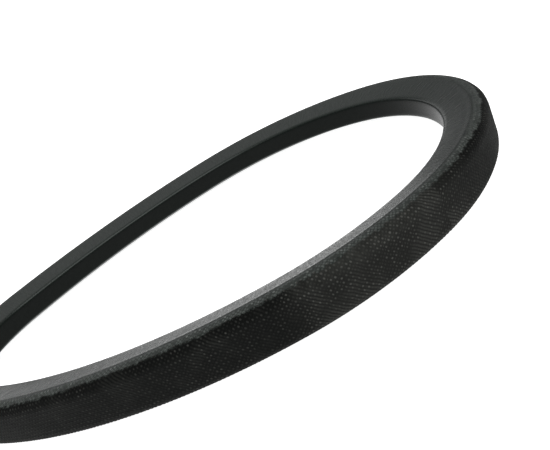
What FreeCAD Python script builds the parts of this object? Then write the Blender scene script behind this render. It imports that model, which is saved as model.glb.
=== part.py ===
import FreeCAD, Part

import math
import os

# Endless wrapped V-belt with a narrow wedge section, lying on its side.
# Frame: +Z is the axis of the loop and points up, +X runs along the loop to
# its wide round end, and the origin is the centre of the footprint on the
# surface the belt lies on.  Millimetres.

# --- belt section -----------------------------------------------------------
TOP_WIDTH = 16.3            # across the back, between the unrounded corners
HEIGHT = 13.0               # from the inner face to the back
FLANK_ANGLE = 18.5          # each flank from the section's centre line, as bent
BACK_CORNER_RADIUS = 3.0
INNER_CORNER_RADIUS = 1.2
PLY = 0.55                  # one ply of rubberised cover fabric

# --- layers inside the two cover plies --------------------------------------
CORD_LINE = 9.6             # cord centres, from the inner face
CORD_DIAMETER = 1.25
CORD_PITCH = 1.5            # across the belt, from one turn to the next
CORD_TURNS = 7
GUM_COVER = 0.45            # adhesion gum beyond the cord, on either side

# --- loop, measured at the inner face ---------------------------------------
HEAD_RADIUS = 54.0          # wide round end, towards +X
TAIL_RADIUS = 30.0          # narrow end, towards -X
FAR_SHOULDER_RADIUS = 79.0  # +Y side, next to the head
FAR_RUN_RADIUS = 192.0      # +Y side, the long run to the tail
NEAR_SHOULDER_RADIUS = 89.0
NEAR_RUN_RADIUS = 170.0
# Directions from the arc centres, in degrees, where one arc meets the next.
HEAD_TO_FAR_SHOULDER = 43.5
FAR_SHOULDER_TO_RUN = 98.0
HEAD_TO_NEAR_SHOULDER = -66.0
NEAR_SHOULDER_TO_RUN = -90.0

COS_FLANK = math.cos(math.radians(FLANK_ANGLE))
TAN_FLANK = math.tan(math.radians(FLANK_ANGLE))


# --- section: first coordinate outward from the inner face, second across ----

def half_width(outward, inset):
    """Half of the section at a given height, less the wall outside it."""
    whole = TOP_WIDTH / 2 - (HEIGHT - outward) * TAN_FLANK
    return whole - inset / COS_FLANK


def rounded_face(corners):
    """Face of a polygon whose corners are given as (outward, across, radius)."""
    edges = []
    points = [FreeCAD.Vector(outward, across, 0) for outward, across, radius in corners]
    previous_end = None
    first_start = None
    for i, here in enumerate(points):
        before = points[i - 1] - here
        after = points[(i + 1) % len(points)] - here
        before.normalize()
        after.normalize()
        half_corner = before.getAngle(after) / 2
        radius = corners[i][2]
        tangent = radius / math.tan(half_corner)
        inward = before + after
        inward.normalize()
        crown = here + inward * (radius / math.sin(half_corner) - radius)
        start = here + before * tangent
        end = here + after * tangent
        if previous_end is not None:
            edges.append(Part.makeLine(previous_end, start))
        else:
            first_start = start
        edges.append(Part.Arc(start, crown, end).toShape())
        previous_end = end
    edges.append(Part.makeLine(previous_end, first_start))
    return Part.Face(Part.Wire(edges))


def rounded_v(inset):
    """The whole section, drawn in all round by a wall thickness."""
    back = HEIGHT - inset
    back_half = half_width(back, inset)
    inner_half = half_width(inset, inset)
    back_radius = BACK_CORNER_RADIUS - inset
    inner_radius = INNER_CORNER_RADIUS - inset
    return rounded_face([
        (inset, -inner_half, inner_radius),
        (back, -back_half, back_radius),
        (back, back_half, back_radius),
        (inset, inner_half, inner_radius),
    ])


def band(low, high):
    """Strip across the section between two distances from the inner face."""
    corner = FreeCAD.Vector(low, -TOP_WIDTH, 0)
    return Part.makePlane(high - low, 2 * TOP_WIDTH, corner)


def cord_faces():
    """Round sections of the cord, one for each turn across the belt."""
    faces = []
    for turn in range(CORD_TURNS):
        across = (turn - (CORD_TURNS - 1) / 2) * CORD_PITCH
        circle = Part.makeCircle(CORD_DIAMETER / 2, FreeCAD.Vector(CORD_LINE, across, 0))
        faces.append(Part.Face(Part.Wire([circle])))
    return faces


# --- loop ---------------------------------------------------------------------

def polar(radius, degrees):
    """Vector of the given length and direction in the plane of the loop."""
    angle = math.radians(degrees)
    return FreeCAD.Vector(radius * math.cos(angle), radius * math.sin(angle), 0)


def heading(start, end):
    """Direction from one point to another, from 0 to 360 degrees."""
    step = end - start
    return math.degrees(math.atan2(step.y, step.x)) % 360


def tail_centre(far_run, near_run):
    """Centre of the tail arc, which touches both long runs from inside."""
    reach_far = FAR_RUN_RADIUS - TAIL_RADIUS
    reach_near = NEAR_RUN_RADIUS - TAIL_RADIUS
    across = near_run - far_run
    gap = across.Length
    along = (gap ** 2 + reach_far ** 2 - reach_near ** 2) / (2 * gap)
    aside = math.sqrt(reach_far ** 2 - along ** 2)
    unit = across / gap
    return far_run + unit * along + FreeCAD.Vector(-unit.y, unit.x, 0) * aside


def loop_arcs():
    """Tangent arcs of the loop: centre, inner radius, start and end direction."""
    head = FreeCAD.Vector(0, 0, 0)
    far_shoulder = head + polar(HEAD_RADIUS - FAR_SHOULDER_RADIUS, HEAD_TO_FAR_SHOULDER)
    far_run = far_shoulder + polar(FAR_SHOULDER_RADIUS - FAR_RUN_RADIUS, FAR_SHOULDER_TO_RUN)
    near_shoulder = head + polar(HEAD_RADIUS - NEAR_SHOULDER_RADIUS, HEAD_TO_NEAR_SHOULDER)
    near_run = near_shoulder + polar(NEAR_SHOULDER_RADIUS - NEAR_RUN_RADIUS, NEAR_SHOULDER_TO_RUN)
    tail = tail_centre(far_run, near_run)
    tail_start = heading(far_run, tail)
    tail_end = heading(near_run, tail)
    arcs = [
        (head, HEAD_RADIUS, HEAD_TO_NEAR_SHOULDER, HEAD_TO_FAR_SHOULDER),
        (far_shoulder, FAR_SHOULDER_RADIUS, HEAD_TO_FAR_SHOULDER, FAR_SHOULDER_TO_RUN),
        (far_run, FAR_RUN_RADIUS, FAR_SHOULDER_TO_RUN, tail_start),
        (tail, TAIL_RADIUS, tail_start, tail_end),
        (near_run, NEAR_RUN_RADIUS, tail_end, NEAR_SHOULDER_TO_RUN + 360),
        (near_shoulder, NEAR_SHOULDER_RADIUS, NEAR_SHOULDER_TO_RUN, HEAD_TO_NEAR_SHOULDER),
    ]
    # The back's furthest points, which the origin is centred between.
    right = head.x + HEAD_RADIUS + HEIGHT
    left = tail.x - TAIL_RADIUS - HEIGHT
    far = far_shoulder.y + FAR_SHOULDER_RADIUS + HEIGHT
    near = near_run.y - NEAR_RUN_RADIUS - HEIGHT
    # The rounded back corner is the lowest part of the section.
    low_half = half_width(HEIGHT - BACK_CORNER_RADIUS, 0)
    low_half = low_half - BACK_CORNER_RADIUS / COS_FLANK + BACK_CORNER_RADIUS
    shift = FreeCAD.Vector(-(right + left) / 2, -(far + near) / 2, low_half)
    return [(centre + shift, radius, start, end) for centre, radius, start, end in arcs]


LOOP = loop_arcs()


def spine():
    """The loop at the middle of the inner face, as one closed wire."""
    edges = []
    for centre, radius, start, end in LOOP:
        middle = (start + end) / 2
        points = [centre + polar(radius, angle) for angle in (start, middle, end)]
        edges.append(Part.Arc(points[0], points[1], points[2]).toShape())
    return Part.Wire(edges)


def section_placement():
    """Where a section stands at the start of the spine: outward is radial."""
    centre, radius, start, end = LOOP[0]
    outward = polar(1, start)
    origin = centre + polar(radius, start)
    up = FreeCAD.Vector(0, 0, 1)
    along = outward.cross(up)
    return FreeCAD.Placement(FreeCAD.Matrix(
        outward.x, up.x, along.x, origin.x,
        outward.y, up.y, along.y, origin.y,
        outward.z, up.z, along.z, origin.z,
        0, 0, 0, 1,
    ))


def sweep(face):
    """Carry a section face, holes included, right round the loop."""
    solids = []
    for wire in face.Wires:
        outline = wire.copy()
        outline.Placement = section_placement()
        solids.append(spine().makePipeShell([outline], True, False))
    solids.sort(key=lambda solid: solid.Volume, reverse=True)
    swept = solids[0]
    for hollow in solids[1:]:
        swept = swept.cut(hollow)
    return swept


# --- layers, from the outside in ----------------------------------------------

belt = rounded_v(0)
inside_one_ply = rounded_v(PLY)
core = rounded_v(2 * PLY)
gum_low = CORD_LINE - CORD_DIAMETER / 2 - GUM_COVER
gum_high = CORD_LINE + CORD_DIAMETER / 2 + GUM_COVER
cords = cord_faces()

gum_lower = core.common(band(gum_low, CORD_LINE))
gum_upper = core.common(band(CORD_LINE, gum_high))
for cord in cords:
    gum_lower = gum_lower.cut(cord)
    gum_upper = gum_upper.cut(cord)

layers = {
    "cover_outer_ply": [belt.cut(inside_one_ply)],
    "cover_inner_ply": [inside_one_ply.cut(core)],
    "tension_rubber": [core.common(band(gum_high, HEIGHT))],
    "adhesion_gum_upper": [gum_upper],
    "tensile_cord": cords,
    "adhesion_gum_lower": [gum_lower],
    "compression_rubber": [core.common(band(0, gum_low))],
}

os.makedirs("parts", exist_ok=True)
for name, faces in layers.items():
    swept = [sweep(face) for face in faces]
    shape = swept[0] if len(swept) == 1 else Part.makeCompound(swept)
    shape.exportStep(f"parts/{name}.step")
    print(name, len(shape.Solids), "solids,", round(shape.Volume, 1), "mm3")
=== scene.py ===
import math

import bmesh
import bpy
import numpy as np
from mathutils import Matrix, Vector


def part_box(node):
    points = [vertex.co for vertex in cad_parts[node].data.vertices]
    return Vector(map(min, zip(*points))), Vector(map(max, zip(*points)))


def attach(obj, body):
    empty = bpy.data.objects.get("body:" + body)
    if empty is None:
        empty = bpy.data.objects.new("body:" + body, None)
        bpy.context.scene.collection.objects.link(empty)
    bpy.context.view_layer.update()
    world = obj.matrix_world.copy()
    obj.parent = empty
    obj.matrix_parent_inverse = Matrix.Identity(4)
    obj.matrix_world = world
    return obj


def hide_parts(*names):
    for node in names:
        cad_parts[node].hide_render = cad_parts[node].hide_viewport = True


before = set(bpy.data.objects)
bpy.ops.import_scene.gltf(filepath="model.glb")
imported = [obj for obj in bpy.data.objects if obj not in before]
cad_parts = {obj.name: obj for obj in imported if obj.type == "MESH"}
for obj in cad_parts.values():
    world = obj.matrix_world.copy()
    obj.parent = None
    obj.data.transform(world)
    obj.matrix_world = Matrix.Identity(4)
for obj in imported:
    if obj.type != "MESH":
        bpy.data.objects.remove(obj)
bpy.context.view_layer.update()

# Looks of an endless wrapped V-belt.  Metres, in the frame of the CAD model:
# +Z is the axis of the loop, and the belt lies on its side at z = 0.
MM = 0.001

# --- belt section and loop, as in the CAD model --------------------------------
TOP_WIDTH = 16.3 * MM
HEIGHT = 13.0 * MM
FLANK_ANGLE = math.radians(18.5)
BACK_CORNER_RADIUS = 3.0 * MM
INNER_CORNER_RADIUS = 1.2 * MM
PLY = 0.55 * MM
HEAD_RADIUS = 54 * MM
TAIL_RADIUS = 30 * MM
FAR_SHOULDER_RADIUS = 79 * MM
FAR_RUN_RADIUS = 192 * MM
NEAR_SHOULDER_RADIUS = 89 * MM
NEAR_RUN_RADIUS = 170 * MM
HEAD_TO_FAR_SHOULDER = math.radians(43.5)
FAR_SHOULDER_TO_RUN = math.radians(98)
HEAD_TO_NEAR_SHOULDER = math.radians(-66)
NEAR_SHOULDER_TO_RUN = math.radians(-90)

# --- jacket weave ----------------------------------------------------------------
# The cloth is laid on the bias, so its threads cross the belt at 45 degrees.  The
# pattern repeats about every 1.1 mm, along the back as well as across it.
# Places in the weave are counted in these repeats: along the belt from the start of
# the wide end's arc, and across from the middle of the back.
REPEATS_ALONG = 510         # a multiple of COARSE
REPEATS_ACROSS = 40
FINE = 4                    # mesh steps in one repeat on the back
COARSE = 3                  # fine steps in one coarse step, elsewhere
FINE_ROWS_HALF = 35         # fine rows either side of the back's middle
THREAD_RELIEF = 0.075 * MM  # thread crowns above the mean surface of the back
LEAST_RELIEF = 0.05         # share of that relief left where the flanks begin
SHOULDER_RELIEF = 0.45      # share that the pressed shoulders have on top of it
SWELL = 0.6                 # share of its height a thread gains between crossings
LOW_THREADS = 0.7           # height of one family of threads against the other
SHOULDER_BAND = 2.4 * MM    # pressed band between each flank and the woven back
RELIEF_FADE = 0.3 * MM      # either side of that band's start, for the relief
COLOUR_FADE = 1.1 * MM      # the same for the colours
FLANK_FADE = -0.35 * MM, 0.15 * MM      # from the shoulder's end
INNER_FADE = -0.90 * MM, 0.10 * MM      # from the inner face's start
INNER_MATERIAL = -0.45 * MM             # where its own material begins, from there
RIDGE_HEIGHT = 0.08 * MM    # bead that the mould leaves along each flank's edge
RIDGE_OFFSET = 0.30 * MM    # its middle, past the shoulder's end
RIDGE_SPREAD = 0.36 * MM
GROOVE_DEPTH = 0.09 * MM    # crease beside that bead, on the shoulder's side
GROOVE_OFFSET = 0.28 * MM   # its middle, before the shoulder's end
GROOVE_SPREAD = 0.22 * MM

# Slow waves in the threads: size in repeats, how many of them go round the loop and
# round the section, and where each starts.
STRAY_ALONG = ((0.07, 31, 2, 0.0), (0.05, 89, -3, 1.3), (0.05, 173, 11, 0.4))
STRAY_ACROSS = ((0.07, 23, -1, 2.1), (0.05, 71, 4, 0.0), (0.05, 157, -9, 2.9))

# Two lighter patches on the back near the bend: painted highlights, where the light
# falls brighter.  Each starts and is full where the cosine of the turn round the loop,
# away from its place, reaches these two values.
LIT_PATCH_PLACE, LIT_PATCH_REACH = -14.0, (0.935, 0.995)    # over the whole width
UPPER_LIT_PLACE, UPPER_LIT_REACH = -19.0, (0.965, 0.998)        # over the upper side only
UPPER_LIT_ACROSS = (1.5, 7.0)


def rgb(red, green, blue):
    """A linear colour, opaque."""
    return (red, green, blue, 1.0)


# --- jacket colours --------------------------------------------------------------
RUBBER_IN_GAPS = rgb(0.0024, 0.0026, 0.0025), rgb(0.0050, 0.0050, 0.0045)
# Painted highlights: lighter rubber in the two patches near the bend.
LIT_PATCH_RUBBER = rgb(0.0095, 0.0096, 0.0088)
UPPER_LIT_RUBBER = rgb(0.030, 0.031, 0.028)
BARE_FIBRE = rgb(0.062, 0.063, 0.058)
SHOULDER = rgb(0.020, 0.023, 0.021), rgb(0.078, 0.087, 0.081)
SHOULDER_MOTTLE = rgb(0.018, 0.021, 0.019)
SHOULDER_SPECK = rgb(0.150, 0.162, 0.152)
# Painted shade for the crease beside the flank's bead.
CREASE_SHADE = rgb(0.012, 0.014, 0.013)
SMOOTH_FLANK = rgb(0.0035, 0.0060, 0.0048), rgb(0.0120, 0.0165, 0.0142)
# Painted highlight on the flank's bead.
BEAD_HIGHLIGHT = rgb(0.022, 0.026, 0.024)
INNER_FACE = rgb(0.0054, 0.0062, 0.0058), rgb(0.0080, 0.0090, 0.0084)
GREENISH_SHEEN = rgb(0.93, 1.0, 0.96)
# One fabric, glossier where the mould pressed it harder.
JACKET_GLOSS = (("jacket_back", 0.06), ("jacket_shoulder", 0.30),
                ("jacket_flank", 0.31), ("jacket_inner_face", 0.05))

# --- stage -----------------------------------------------------------------------
FLOOR_RADIUS = 6.0
FLOOR_DROP = 0.15 * MM      # keeps the floor clear of the jacket's lowest points
FLOOR_GLOW = 0.95
LOW_BAND_STRENGTH = 1.15    # of the white surroundings near the horizon
KEY_STRENGTH = 1.6
KEY_SPREAD = math.radians(50)
KEY_FROM = Vector((0.25, -0.65, 1.0))
CAMERA_PLACE = Vector((33.730, -155.685, 65.630)) * MM
CAMERA_PITCH = math.radians(23.948)     # down from level
CAMERA_YAW = math.radians(2.725)        # to the left of +Y
CAMERA_ROLL = math.radians(-30.629)
LENS = 30.677
SENSOR_WIDTH = 36.0


def polar(radius, angle):
    """A step of this length in this direction."""
    return Vector((radius * math.cos(angle), radius * math.sin(angle)))


def heading(start, end):
    """Direction from one point to another, from 0 to a full turn."""
    step = end - start
    return math.atan2(step.y, step.x) % (2 * math.pi)


def loop_arcs():
    """Tangent arcs of the loop: centre, inner radius, start and end direction."""
    head = Vector((0, 0))
    far_shoulder = head + polar(HEAD_RADIUS - FAR_SHOULDER_RADIUS, HEAD_TO_FAR_SHOULDER)
    far_run = far_shoulder + polar(FAR_SHOULDER_RADIUS - FAR_RUN_RADIUS, FAR_SHOULDER_TO_RUN)
    near_shoulder = head + polar(HEAD_RADIUS - NEAR_SHOULDER_RADIUS, HEAD_TO_NEAR_SHOULDER)
    near_run = near_shoulder + polar(NEAR_SHOULDER_RADIUS - NEAR_RUN_RADIUS, NEAR_SHOULDER_TO_RUN)
    # The tail arc touches both long runs from inside.
    reach_far = FAR_RUN_RADIUS - TAIL_RADIUS
    reach_near = NEAR_RUN_RADIUS - TAIL_RADIUS
    across = near_run - far_run
    gap = across.length
    along = (gap ** 2 + reach_far ** 2 - reach_near ** 2) / (2 * gap)
    aside = math.sqrt(reach_far ** 2 - along ** 2)
    unit = across / gap
    tail = far_run + unit * along + Vector((-unit.y, unit.x)) * aside
    tail_start = heading(far_run, tail)
    tail_end = heading(near_run, tail)
    arcs = [
        (head, HEAD_RADIUS, HEAD_TO_NEAR_SHOULDER, HEAD_TO_FAR_SHOULDER),
        (far_shoulder, FAR_SHOULDER_RADIUS, HEAD_TO_FAR_SHOULDER, FAR_SHOULDER_TO_RUN),
        (far_run, FAR_RUN_RADIUS, FAR_SHOULDER_TO_RUN, tail_start),
        (tail, TAIL_RADIUS, tail_start, tail_end),
        (near_run, NEAR_RUN_RADIUS, tail_end, NEAR_SHOULDER_TO_RUN + 2 * math.pi),
        (near_shoulder, NEAR_SHOULDER_RADIUS, NEAR_SHOULDER_TO_RUN, HEAD_TO_NEAR_SHOULDER),
    ]
    # The origin is centred between the back's furthest points.
    right = head.x + HEAD_RADIUS + HEIGHT
    left = tail.x - TAIL_RADIUS - HEIGHT
    far = far_shoulder.y + FAR_SHOULDER_RADIUS + HEIGHT
    near = near_run.y - NEAR_RUN_RADIUS - HEIGHT
    shift = Vector((-(right + left) / 2, -(far + near) / 2))
    return [(centre + shift, radius, start, end) for centre, radius, start, end in arcs]


LOOP = loop_arcs()
MID_HEIGHT = (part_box("cover_outer_ply")[0][2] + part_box("cover_outer_ply")[1][2]) / 2


def stations(count):
    """Evenly spaced places round the back: centre, inner radius, direction."""
    lengths = np.array([(radius + HEIGHT) * (end - start) for _, radius, start, end in LOOP])
    starts = np.concatenate([[0], np.cumsum(lengths)])
    travel = np.arange(count) * starts[-1] / count
    arc = np.clip(np.searchsorted(starts, travel, side="right") - 1, 0, len(LOOP) - 1)
    centre = np.array([[c.x, c.y] for c, _, _, _ in LOOP])[arc]
    radius = np.array([r for _, r, _, _ in LOOP])[arc]
    start = np.array([s for _, _, s, _ in LOOP])[arc]
    angle = start + (travel - starts[arc]) / (radius + HEIGHT)
    return centre, radius, angle


def section_outline(inset, places):
    """Points round the rounded section, at distances from the middle of the back.

    places run from 0 to 1 once round, the back's middle being 0.  Returns a row for
    each point, with how far out and across it lies and its normal, and then the
    distances at which the outline's stretches start."""
    slope = math.tan(FLANK_ANGLE)
    thin = inset / math.cos(FLANK_ANGLE)
    half = TOP_WIDTH / 2
    back = HEIGHT - inset
    corners = [
        (back, half - (HEIGHT - back) * slope - thin, BACK_CORNER_RADIUS - inset),
        (inset, half - (HEIGHT - inset) * slope - thin, INNER_CORNER_RADIUS - inset),
    ]
    full = [corners[0], corners[1]]
    full += [(out, -across, radius) for out, across, radius in reversed(corners)]
    # A line is kept with its two ends, an arc with its centre, start, turn and radius.
    pieces = []
    here = Vector((back, 0))
    for i, (out, across, radius) in enumerate(full):
        corner = Vector((out, across))
        before = (Vector(full[i - 1][:2]) - corner).normalized()
        after = (Vector(full[(i + 1) % 4][:2]) - corner).normalized()
        half_corner = before.angle(after) / 2
        tangent = radius / math.tan(half_corner)
        start = corner + before * tangent
        centre = corner + (before + after).normalized() * (radius / math.sin(half_corner))
        pieces.append(("line", here, start))
        pieces.append(("arc", centre, start, math.pi - 2 * half_corner, radius))
        here = corner + after * tangent
    pieces.append(("line", here, Vector((back, 0))))
    lengths = [(p[2] - p[1]).length if p[0] == "line" else p[3] * p[4] for p in pieces]
    starts = np.concatenate([[0], np.cumsum(lengths)])

    rows = []
    for place in places:
        travel = (place % 1) * starts[-1]
        k = min(int(np.searchsorted(starts, travel, side="right")) - 1, len(pieces) - 1)
        piece, gone = pieces[k], travel - starts[k]
        if piece[0] == "line":
            step = (piece[2] - piece[1]).normalized()
            point = piece[1] + step * gone
            normal = Vector((step.y, -step.x))
        else:
            turned = gone / piece[4]
            spoke = piece[2] - piece[1]
            cosine, sine = math.cos(turned), math.sin(turned)
            spoke = Vector((spoke.x * cosine - spoke.y * sine, spoke.x * sine + spoke.y * cosine))
            point = piece[1] + spoke
            normal = spoke.normalized()
        rows.append((point.x, point.y, normal.x, normal.y))
    return np.array(rows), starts


def plain_weave(along, across):
    """Height of the woven threads, from 0 in the gaps to 1 on the crowns."""
    warp = along + across
    weft = along - across
    over = (np.floor(warp) + np.floor(weft)) % 2
    warp = warp - np.floor(warp)
    weft = weft - np.floor(weft)
    run = np.where(over == 0, warp, weft)
    side = np.where(over == 0, weft, warp)
    proud = np.where(over == 0, LOW_THREADS, 1.0)
    return proud * (1 - (2 * side - 1) ** 2) * (1 - SWELL + SWELL * np.sin(math.pi * run))


def wander(along, across):
    """Where the threads really lie, in repeats: a little off a true grid."""
    round_loop = 2 * math.pi * along / REPEATS_ALONG
    round_section = 2 * math.pi * across / REPEATS_ACROSS

    def stray(waves):
        return sum(size * np.sin(loops * round_loop + turns * round_section + start)
                   for size, loops, turns, start in waves)

    return along + stray(STRAY_ALONG), across + stray(STRAY_ACROSS)


def fade(value, low, high):
    """0 below low, 1 above high, smooth between."""
    x = np.clip((value - low) / (high - low), 0, 1)
    return x * x * (3 - 2 * x)


def jacket_shell():
    """Outer skin of the jacket: woven back, pressed shoulders, smooth flanks.

    Returns its vertices and faces, each face's material, and for each vertex its
    place in the weave, its share of back, flank and inner face, and its bead."""
    columns = REPEATS_ALONG * FINE
    rows_round = REPEATS_ACROSS * FINE
    fine_rows = list(range(-FINE_ROWS_HALF, FINE_ROWS_HALF + 1))
    coarse_rows = list(range(FINE_ROWS_HALF + COARSE, rows_round - FINE_ROWS_HALF, COARSE))
    rows = fine_rows + coarse_rows
    section, starts = section_outline(0, [row / rows_round for row in rows])
    round_length = starts[-1]
    centre, radius, angle = stations(columns)
    outward = np.stack([np.cos(angle), np.sin(angle)], axis=1)

    # Distance from the middle of the back, either way round.
    travel = np.array([row / rows_round for row in rows]) * round_length
    travel = np.minimum(np.abs(travel), round_length - np.abs(travel))
    shoulder_end = starts[2]
    inner_start = starts[4]
    band_start = shoulder_end - SHOULDER_BAND
    on_back = 1 - fade(travel, band_start - RELIEF_FADE, band_start + RELIEF_FADE)
    on_flank = fade(travel, shoulder_end + FLANK_FADE[0], shoulder_end + FLANK_FADE[1])
    on_inner = fade(travel, inner_start + INNER_FADE[0], inner_start + INNER_FADE[1])
    ridge = np.exp(-((travel - shoulder_end - RIDGE_OFFSET) / RIDGE_SPREAD) ** 2)
    groove = np.exp(-((travel - shoulder_end + GROOVE_OFFSET) / GROOVE_SPREAD) ** 2)
    on_shoulder = (1 - on_back) * (1 - on_flank) * (1 - on_inner)
    relief = THREAD_RELIEF * ((1 - LEAST_RELIEF) * on_back + LEAST_RELIEF)
    relief = relief + THREAD_RELIEF * SHOULDER_RELIEF * on_shoulder

    vertices = []
    weave = []
    index = {}
    for k, row in enumerate(rows):
        out, across, normal_out, normal_up = section[k]
        step = 1 if abs(row) <= FINE_ROWS_HALF else COARSE
        pick = np.arange(0, columns, step)
        along, turn = wander(pick / FINE, np.full(len(pick), row / FINE))
        height = plain_weave(along, turn)
        # Only the fine rows carry the threads, and beyond them it is smooth.
        lift = relief[k] * (2 * height - 1) if step == 1 else np.zeros(len(pick))
        lift = lift + RIDGE_HEIGHT * ridge[k] - GROOVE_DEPTH * groove[k]
        reach = radius[pick] + out + lift * normal_out
        place = centre[pick] + outward[pick] * reach[:, None]
        level = MID_HEIGHT + across + lift * normal_up
        first = sum(len(block) for block in vertices)
        vertices.append(np.column_stack([place, level]))
        weave.append(np.column_stack([along, turn, np.zeros(len(pick))]))
        index[row] = (first, step)
    to_back = 1 - fade(travel, band_start - COLOUR_FADE, band_start + COLOUR_FADE)
    zones = [np.tile([to_back[k], on_flank[k], on_inner[k]], (len(block), 1))
             for k, block in enumerate(vertices)]
    bead = [np.full(len(block), ridge[k] - groove[k]) for k, block in enumerate(vertices)]

    faces = []
    kinds = []
    order = rows + [rows[0]]
    material_ends = [band_start, shoulder_end, inner_start + INNER_MATERIAL]
    middles = (travel + np.roll(travel, -1)) / 2
    for low, high, middle in zip(order, order[1:], middles):
        before = len(faces)
        first, step = index[low]
        second, other = index[high]
        count = columns // step
        if step == other:
            for j in range(count):
                k = (j + 1) % count
                faces.append((first + j, first + k, second + k, second + j))
        elif step < other:
            coarse = columns // other
            for j in range(coarse):
                fine = [first + (j * COARSE + i) % columns for i in range(COARSE + 1)]
                faces.append((*fine, second + (j + 1) % coarse, second + j))
        else:
            for j in range(count):
                fine = [second + (j * COARSE + i) % columns for i in range(COARSE, -1, -1)]
                faces.append((first + j, first + (j + 1) % count, *fine))
        kinds += [sum(middle > end for end in material_ends)] * (len(faces) - before)
    return (np.concatenate(vertices), faces, kinds, np.concatenate(weave),
            np.concatenate(zones), np.concatenate(bead))


def jacket_lining():
    """Inner skin of the jacket, one ply in, which makes it a hollow tube."""
    columns = REPEATS_ALONG
    count = REPEATS_ACROSS
    section, _ = section_outline(PLY, [k / count for k in range(count)])
    centre, radius, angle = stations(columns)
    outward = np.stack([np.cos(angle), np.sin(angle)], axis=1)
    vertices = []
    for out, across, _, _ in section:
        place = centre + outward * (radius + out)[:, None]
        vertices.append(np.column_stack([place, np.full(columns, MID_HEIGHT + across)]))
    faces = []
    for low in range(count):
        high = (low + 1) % count
        for j in range(columns):
            k = (j + 1) % columns
            faces.append((low * columns + j, high * columns + j,
                          high * columns + k, low * columns + k))
    return np.concatenate(vertices), faces


def weave_at_corners(mesh, weave):
    """Weave coordinates at every face corner, carried on past both seams."""
    vertex = np.empty(len(mesh.loops), dtype=np.int32)
    start = np.empty(len(mesh.polygons), dtype=np.int32)
    total = np.empty(len(mesh.polygons), dtype=np.int32)
    mesh.loops.foreach_get("vertex_index", vertex)
    mesh.polygons.foreach_get("loop_start", start)
    mesh.polygons.foreach_get("loop_total", total)
    values = weave[vertex]
    anchor = np.repeat(values[start], total, axis=0)
    period = np.array([REPEATS_ALONG, REPEATS_ACROSS, 1.0])
    return values - period * np.round((values - anchor) / period)


def make_jacket():
    """The whole jacket as one piece, in place of the outer ply."""
    vertices, faces, kinds, weave, zones, bead = jacket_shell()
    inner, inner_faces = jacket_lining()
    offset = len(vertices)
    faces += [tuple(offset + i for i in face) for face in inner_faces]
    kinds += [0] * len(inner_faces)
    mesh = bpy.data.meshes.new("belt_jacket")
    mesh.from_pydata(np.concatenate([vertices, inner]).tolist(), [], faces)
    pad = np.zeros((len(inner), 3))
    corners = weave_at_corners(mesh, np.concatenate([weave, pad]))
    zones = np.concatenate([zones, pad])
    for name, domain, values in (("weave", "CORNER", corners), ("zones", "POINT", zones)):
        attribute = mesh.attributes.new(name, "FLOAT_VECTOR", domain)
        attribute.data.foreach_set("vector", values.ravel())
    ridge = mesh.attributes.new("ridge", "FLOAT", "POINT")
    ridge.data.foreach_set("value", np.concatenate([bead, np.zeros(len(inner))]))
    mesh.polygons.foreach_set("use_smooth", [True] * len(mesh.polygons))
    for name, gloss in JACKET_GLOSS:
        mesh.materials.append(jacket_material(name, gloss))
    mesh.polygons.foreach_set("material_index", kinds)
    mesh.update()
    piece = bpy.data.objects.new("belt_jacket", mesh)
    bpy.context.collection.objects.link(piece)
    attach(piece, "root")
    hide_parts("cover_outer_ply")


# --- materials -------------------------------------------------------------------

class Nodes:
    """Short forms for building the nodes of a material or of the world."""

    def __init__(self, tree):
        self.tree = tree

    def new(self, kind, **settings):
        node = self.tree.nodes.new(kind)
        for key, value in settings.items():
            setattr(node, key, value)
        return node

    def link(self, value, socket):
        if isinstance(value, bpy.types.NodeSocket):
            self.tree.links.new(value, socket)
        else:
            socket.default_value = value

    def math(self, operation, first, second=0.0):
        node = self.new("ShaderNodeMath", operation=operation)
        self.link(first, node.inputs[0])
        self.link(second, node.inputs[1])
        return node.outputs[0]

    def plus(self, first, second):
        return self.math("ADD", first, second)

    def minus(self, first, second):
        return self.math("SUBTRACT", first, second)

    def times(self, first, second):
        return self.math("MULTIPLY", first, second)

    def coordinates(self, kind):
        return self.new("ShaderNodeTexCoord").outputs[kind]

    def attribute(self, name, output):
        return self.new("ShaderNodeAttribute", attribute_name=name).outputs[output]

    def split(self, vector):
        node = self.new("ShaderNodeSeparateXYZ")
        self.link(vector, node.inputs[0])
        return node.outputs

    def join(self, x, y, z=0.0):
        node = self.new("ShaderNodeCombineXYZ")
        for value, socket in zip((x, y, z), node.inputs):
            self.link(value, socket)
        return node.outputs[0]

    def noise(self, vector, scale, detail=3.0, roughness=0.5):
        node = self.new("ShaderNodeTexNoise")
        self.link(vector, node.inputs["Vector"])
        node.inputs["Scale"].default_value = scale
        node.inputs["Detail"].default_value = detail
        node.inputs["Roughness"].default_value = roughness
        return node.outputs["Fac"]

    def dice(self, vector):
        """A random value for each whole-number place."""
        node = self.new("ShaderNodeTexWhiteNoise", noise_dimensions="3D")
        self.link(vector, node.inputs["Vector"])
        return node.outputs["Value"]

    def ramp(self, value, low, high, start=0.0, end=1.0):
        """Goes smoothly from start, at low or below, to end, at high or above."""
        node = self.new("ShaderNodeMapRange", interpolation_type="SMOOTHSTEP")
        for item, socket in zip((value, low, high, start, end), node.inputs):
            self.link(item, socket)
        return node.outputs[0]

    def mix(self, share, first, second):
        """A colour between two others."""
        node = self.new("ShaderNodeMix", data_type="RGBA")
        self.link(share, node.inputs["Factor"])
        self.link(first, node.inputs["A"])
        self.link(second, node.inputs["B"])
        return node.outputs["Result"]

    def blend(self, share, first, second):
        """A number between two others."""
        node = self.new("ShaderNodeMix", data_type="FLOAT")
        self.link(share, node.inputs["Factor"])
        self.link(first, node.inputs["A"])
        self.link(second, node.inputs["B"])
        return node.outputs["Result"]


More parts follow.
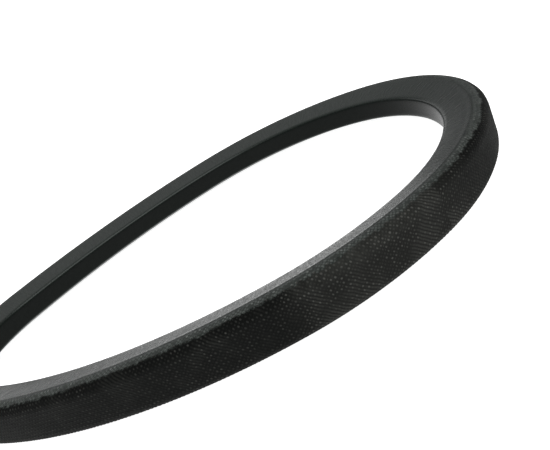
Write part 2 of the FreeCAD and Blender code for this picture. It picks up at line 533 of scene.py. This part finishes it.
class Material(Nodes):
    """A new material, with its shader at hand."""

    def __init__(self, name):
        self.material = bpy.data.materials.new(name)
        self.material.use_nodes = True
        super().__init__(self.material.node_tree)
        self.shader = self.tree.nodes["Principled BSDF"]

    def set(self, item, value):
        self.link(value, self.shader.inputs[item])

    def bump(self, height, distance, strength=1.0):
        node = self.new("ShaderNodeBump")
        node.inputs["Strength"].default_value = strength
        node.inputs["Distance"].default_value = distance
        self.link(height, node.inputs["Height"])
        self.set("Normal", node.outputs[0])


def woven(n, weave_vector):
    """The same plain weave as nodes, from coordinates counted in repeats.

    Gives the height, the middle lines of one family of threads, the fibres'
    grain and a random value for each crossing."""
    along, across, _ = n.split(weave_vector)
    warp = n.plus(along, across)
    weft = n.minus(along, across)
    warp_cell = n.math("FLOOR", warp)
    weft_cell = n.math("FLOOR", weft)
    over = n.math("FLOORED_MODULO", n.plus(warp_cell, weft_cell), 2.0)
    warp_part = n.math("FRACT", warp)
    weft_part = n.math("FRACT", weft)
    run = n.blend(over, warp_part, weft_part)
    side = n.blend(over, weft_part, warp_part)
    crossed = n.minus(n.times(side, 2.0), 1.0)
    crown = n.minus(1.0, n.times(crossed, crossed))
    swell = n.math("SINE", n.times(run, math.pi))
    height = n.times(crown, n.plus(n.times(swell, SWELL), 1.0 - SWELL))
    height = n.times(height, n.ramp(over, 0.0, 1.0, LOW_THREADS, 1.0))
    # Fibres run along whichever thread lies on top.
    fibre_across = n.blend(over, weft, warp)
    fibre_along = n.blend(over, warp, weft)
    stretched = n.join(n.times(fibre_along, 1.2), n.times(fibre_across, 7.0), over)
    fibres = n.noise(stretched, 1.0, 2.0)
    cell = n.dice(n.join(warp_cell, weft_cell, 0.5))
    aside = n.minus(n.times(warp_part, 2.0), 1.0)
    line = n.minus(1.0, n.times(aside, aside))
    return height, line, fibres, cell


def ragged_border(n, weave, back, height, cell):
    """Ends the pressed band raggedly, thread by thread, where the bare weave starts."""
    ragged = n.plus(n.noise(weave, 0.40, 3.0), n.times(n.plus(cell, height), 0.25))
    border = n.times(back, n.minus(1.0, back))
    ragged = n.times(n.minus(ragged, 0.75), n.times(border, 8.0))
    return n.ramp(n.plus(back, ragged), 0.30, 0.70)


def patch_along(n, along, place, reach):
    """1 near a place along the belt, 0 further off."""
    turn = n.times(n.minus(along, place), 2 * math.pi / REPEATS_ALONG)
    return n.ramp(n.math("COSINE", turn), *reach)


def jacket_material(name, gloss):
    """Rubberised cloth, coloured by how far each spot is back, shoulder or flank."""
    n = Material(name)
    weave = n.attribute("weave", "Vector")
    back, flank, inner = n.split(n.attribute("zones", "Vector"))
    ridge = n.attribute("ridge", "Fac")
    height, line, fibres, cell = woven(n, weave)
    back = ragged_border(n, weave, back, height, cell)
    cloud = n.noise(weave, 0.05, 4.0)
    patch = n.noise(weave, 0.11, 2.0)
    mottle = n.noise(weave, 0.6, 3.0)
    grain = n.noise(weave, 6.0, 3.0)
    along, across, _ = n.split(weave)

    # Back: black rubber in the gaps, bare grey fibres on some of the crowns.
    some = n.ramp(n.noise(weave, 0.3, 2.0), 0.35, 0.65, 0.6, 1.15)
    some = n.times(n.ramp(cell, 0.0, 1.0, 0.2, 1.0), some)
    crowns = n.times(n.ramp(height, 0.45, 0.98), some)
    streaks = n.times(n.ramp(line, 0.35, 1.0), n.ramp(patch, 0.45, 0.65, 0.0, 0.35))
    bare = n.times(n.math("MAXIMUM", crowns, streaks), n.ramp(fibres, 0.25, 0.7, 0.5, 1.0))
    # Painted highlight: a lighter patch near the bend, over the whole width, in the rubber and in
    # the share of bare fibre.
    lit_patch = patch_along(n, along, LIT_PATCH_PLACE, LIT_PATCH_REACH)
    # Painted light: near the bend, the upper side of the back is made lighter.
    upper_lit = n.times(patch_along(n, along, UPPER_LIT_PLACE, UPPER_LIT_REACH), n.ramp(across, *UPPER_LIT_ACROSS))
    # Painted highlight: more bare fibre towards both edges of the back; the cloud adds random
    # tone, and the patch near the bend adds its painted highlight.
    from_middle = n.math("ABSOLUTE", across)
    wear_and_painted_light = n.times(n.ramp(from_middle, 1.5, 6.0, 0.75, 1.15), n.ramp(cloud, 0.3, 0.7, 0.7, 1.2))
    wear_and_painted_light = n.times(wear_and_painted_light, n.blend(lit_patch, 0.62, 1.4))
    dark = n.mix(n.times(cloud, 0.5), *RUBBER_IN_GAPS)
    # The two painted highlight patches lighten the rubber as well.
    dark = n.mix(lit_patch, dark, LIT_PATCH_RUBBER)
    # Painted light on the upper side near the bend, broken up by the mottle.
    dark = n.mix(n.times(upper_lit, n.ramp(mottle, 0.30, 0.70, 0.4, 1.0)), dark, UPPER_LIT_RUBBER)
    woven_back = n.mix(n.times(bare, wear_and_painted_light), dark, BARE_FIBRE)

    # Shoulders: the weave pressed nearly flat and mottled, with a few bright crowns,
    # and painted shade in the crease beside the flank's bead.
    specks = n.times(n.ramp(cell, 0.78, 0.92), n.ramp(height, 0.45, 0.85))
    # Painted shade: the shoulder colour darkened in the crease.
    crease = n.math("MAXIMUM", n.times(ridge, -1.0), 0.0)
    shoulder = n.mix(n.ramp(height, 0.10, 0.80), *SHOULDER)
    dull = n.ramp(n.noise(weave, 0.8, 2.0), 0.44, 0.60, 0.0, 0.85)
    shoulder = n.mix(dull, shoulder, SHOULDER_MOTTLE)
    shoulder = n.mix(n.times(specks, 0.8), shoulder, SHOULDER_SPECK)
    shoulder = n.mix(n.times(crease, 0.4), shoulder, CREASE_SHADE)

    # Flanks: pressed smooth and hazy in the mould, with a painted highlight on the bead.
    bead = n.math("MAXIMUM", ridge, 0.0)
    smooth = n.mix(n.times(n.plus(mottle, height), 0.5), *SMOOTH_FLANK)
    smooth = n.mix(n.times(bead, 0.4), smooth, BEAD_HIGHLIGHT)

    colour = n.mix(back, shoulder, woven_back)
    colour = n.mix(flank, colour, smooth)
    colour = n.mix(inner, colour, n.mix(mottle, *INNER_FACE))
    n.set("Base Color", colour)

    # The mould wiped the flanks crosswise, which leaves faint streaks.
    wiped = n.noise(n.join(n.times(along, 1.4), n.times(across, 0.3)), 1.0, 3.0)
    rough_flank = n.ramp(wiped, 0.3, 0.7, 0.23, 0.37)
    rough_back = n.ramp(bare, 0.0, 1.0, 0.70, 0.90)
    roughness = n.blend(back, 0.55, rough_back)
    roughness = n.blend(flank, roughness, rough_flank)
    roughness = n.blend(inner, roughness, 0.28)
    n.set("Roughness", n.plus(roughness, n.times(n.minus(grain, 0.5), 0.10)))
    n.set("Specular IOR Level", gloss)
    n.set("Specular Tint", GREENISH_SHEEN)

    # The weave stands out fully on the back and a fifth as much elsewhere.
    strength = n.plus(n.times(back, 0.80), 0.20)
    relief = n.times(n.plus(height, n.times(fibres, 0.35)), strength)
    n.bump(n.plus(relief, n.times(grain, 0.07)), 0.06 * MM, 0.9)
    return n.material


def inner_ply_material():
    """The same cloth, its weave counted round the loop and up, at about 1 mm."""
    n = Material("inner_ply_fabric")
    x, y, z = n.split(n.coordinates("Object"))
    repeats_per_radian = 70.0
    around = n.times(n.math("ARCTAN2", y, x), repeats_per_radian)
    height, _, fibres, cell = woven(n, n.join(around, n.times(z, 1.0 / MM)))
    tone = n.mix(height, rgb(0.010, 0.010, 0.010), rgb(0.030, 0.029, 0.027))
    tone = n.mix(n.times(cell, 0.3), tone, rgb(0.05, 0.048, 0.044))
    n.set("Base Color", tone)
    n.set("Roughness", n.ramp(fibres, 0.3, 0.7, 0.60, 0.80))
    n.bump(n.plus(height, n.times(fibres, 0.3)), 0.06 * MM)
    return n.material


def rubber_material(name, dark, light, fibre, rough):
    """Cured rubber; fibre is how strongly short fibres streak it."""
    n = Material(name)
    place = n.coordinates("Object")
    x, y, z = n.split(place)
    cloud = n.noise(place, 90.0, 4.0)
    pits = n.noise(place, 2600.0, 3.0, 0.6)
    streak = n.noise(n.join(n.times(x, 300.0), n.times(y, 300.0),
                            n.times(z, 3000.0)), 1.0, 3.0)
    colour = n.mix(cloud, dark, light)
    colour = n.mix(n.times(n.ramp(streak, 0.60, 0.75), fibre), colour, rgb(0.16, 0.15, 0.13))
    n.set("Base Color", colour)
    n.set("Roughness", n.ramp(pits, 0.3, 0.7, rough - 0.08, rough + 0.10))
    n.bump(n.plus(pits, n.times(streak, fibre)), 0.03 * MM)
    return n.material


def cord_material():
    """Twisted polyester: slanted strands with darker dips of adhesive between them."""
    n = Material("polyester_cord")
    place = n.coordinates("Object")
    x, y, z = n.split(place)
    slant_along, slant_up = 560.0, 4200.0
    twist = n.plus(n.times(n.math("ARCTAN2", y, x), slant_along), n.times(z, slant_up))
    strand = n.plus(n.times(n.math("SINE", twist), 0.5), 0.5)
    fluff = n.noise(place, 4000.0, 3.0)
    colour = n.mix(strand, rgb(0.22, 0.19, 0.13), rgb(0.62, 0.57, 0.46))
    colour = n.mix(n.times(fluff, 0.3), colour, rgb(0.75, 0.71, 0.60))
    n.set("Base Color", colour)
    n.set("Roughness", n.ramp(fluff, 0.3, 0.7, 0.55, 0.75))
    n.bump(n.plus(strand, n.times(fluff, 0.4)), 0.08 * MM)
    return n.material


def dress_nodes():
    """Materials for the CAD pieces, all of them hidden by the jacket."""
    looks = {
        "cover_outer_ply": inner_ply_material(),
        "cover_inner_ply": inner_ply_material(),
        "tension_rubber": rubber_material("tension_rubber", rgb(0.010, 0.010, 0.010),
                                          rgb(0.020, 0.020, 0.019), 0.0, 0.55),
        "compression_rubber": rubber_material("compression_rubber", rgb(0.008, 0.008, 0.008),
                                              rgb(0.018, 0.018, 0.017), 0.5, 0.65),
        "adhesion_gum_upper": rubber_material("adhesion_gum", rgb(0.022, 0.019, 0.016),
                                              rgb(0.040, 0.035, 0.030), 0.0, 0.45),
        "tensile_cord": cord_material(),
    }
    looks["adhesion_gum_lower"] = looks["adhesion_gum_upper"]
    for name, material in looks.items():
        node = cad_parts[name]
        node.data.materials.clear()
        node.data.materials.append(material)


# --- floor, surroundings, light and camera ---------------------------------------

def floor_material():
    """A pale opal sheet, lit a little from beneath so that shadows stay faint."""
    n = Material("pale_floor")
    cloud = n.noise(n.coordinates("Object"), 3.0)
    n.set("Base Color", n.mix(cloud, rgb(0.86, 0.86, 0.86), rgb(0.88, 0.88, 0.88)))
    n.set("Roughness", 0.9)
    n.set("Specular IOR Level", 0.1)
    n.set("Emission Color", rgb(1.0, 1.0, 1.0))
    n.set("Emission Strength", FLOOR_GLOW)
    return n.material


def make_floor():
    """A disc that fills the picture, just under the belt."""
    mesh = bpy.data.meshes.new("floor")
    shape = bmesh.new()
    bmesh.ops.create_circle(shape, cap_ends=True, radius=FLOOR_RADIUS, segments=96)
    shape.to_mesh(mesh)
    shape.free()
    mesh.materials.append(floor_material())
    floor = bpy.data.objects.new("floor", mesh)
    floor.location.z = -FLOOR_DROP
    bpy.context.collection.objects.link(floor)


def make_world():
    """Soft surroundings: white near the horizon, dim above, brighter overhead."""
    world = bpy.data.worlds.new("studio")
    world.use_nodes = True
    n = Nodes(world.node_tree)
    x, y, z = n.split(n.coordinates("Generated"))
    # Above the white band it is dimmest behind the camera and to the right.
    aside = n.ramp(x, 0.12, 0.35, 1.0, 0.4)
    ahead = n.times(n.ramp(y, -0.6, 0.6, 0.10, 0.40), aside)
    upper = n.times(ahead, n.ramp(z, 0.50, 0.80, 1.0, 2.4))
    # The white band goes all round, but for a dim panel ahead on the right.
    panel = n.ramp(x, 0.12, 0.26, LOW_BAND_STRENGTH, 0.2)
    lower = n.ramp(y, 0.75, 0.90, LOW_BAND_STRENGTH, panel)
    background = n.tree.nodes["Background"]
    n.link(n.ramp(z, 0.19, 0.26, lower, upper), background.inputs["Strength"])
    n.link(rgb(1.0, 1.0, 1.0), background.inputs["Color"])
    bpy.context.scene.world = world


def key_light():
    """One broad soft light from high behind the camera, even over the floor."""
    data = bpy.data.lights.new("key_light", "SUN")
    data.energy = KEY_STRENGTH
    data.angle = KEY_SPREAD
    lamp = bpy.data.objects.new("key_light", data)
    lamp.rotation_euler = KEY_FROM.to_track_quat("Z", "Y").to_euler()
    bpy.context.collection.objects.link(lamp)


def make_camera():
    """A close camera, low beside the near run, rolled so the belt runs downhill."""
    level = Vector((-math.sin(CAMERA_YAW), math.cos(CAMERA_YAW), 0))
    right = Vector((math.cos(CAMERA_YAW), math.sin(CAMERA_YAW), 0))
    ahead = level * math.cos(CAMERA_PITCH) - Vector((0, 0, math.sin(CAMERA_PITCH)))
    down = ahead.cross(right)
    image_right = right * math.cos(CAMERA_ROLL) - down * math.sin(CAMERA_ROLL)
    image_up = -(right * math.sin(CAMERA_ROLL) + down * math.cos(CAMERA_ROLL))
    data = bpy.data.cameras.new("camera")
    data.lens = LENS
    data.sensor_width = SENSOR_WIDTH
    data.clip_start = 5 * MM
    data.clip_end = 50.0
    camera = bpy.data.objects.new("camera", data)
    axes = Matrix((image_right, image_up, -ahead)).transposed()
    camera.matrix_world = Matrix.Translation(CAMERA_PLACE) @ axes.to_4x4()
    bpy.context.collection.objects.link(camera)
    bpy.context.scene.camera = camera


make_jacket()
dress_nodes()
make_floor()
make_world()
key_light()
make_camera()
bpy.context.scene.view_settings.view_transform = "Standard"
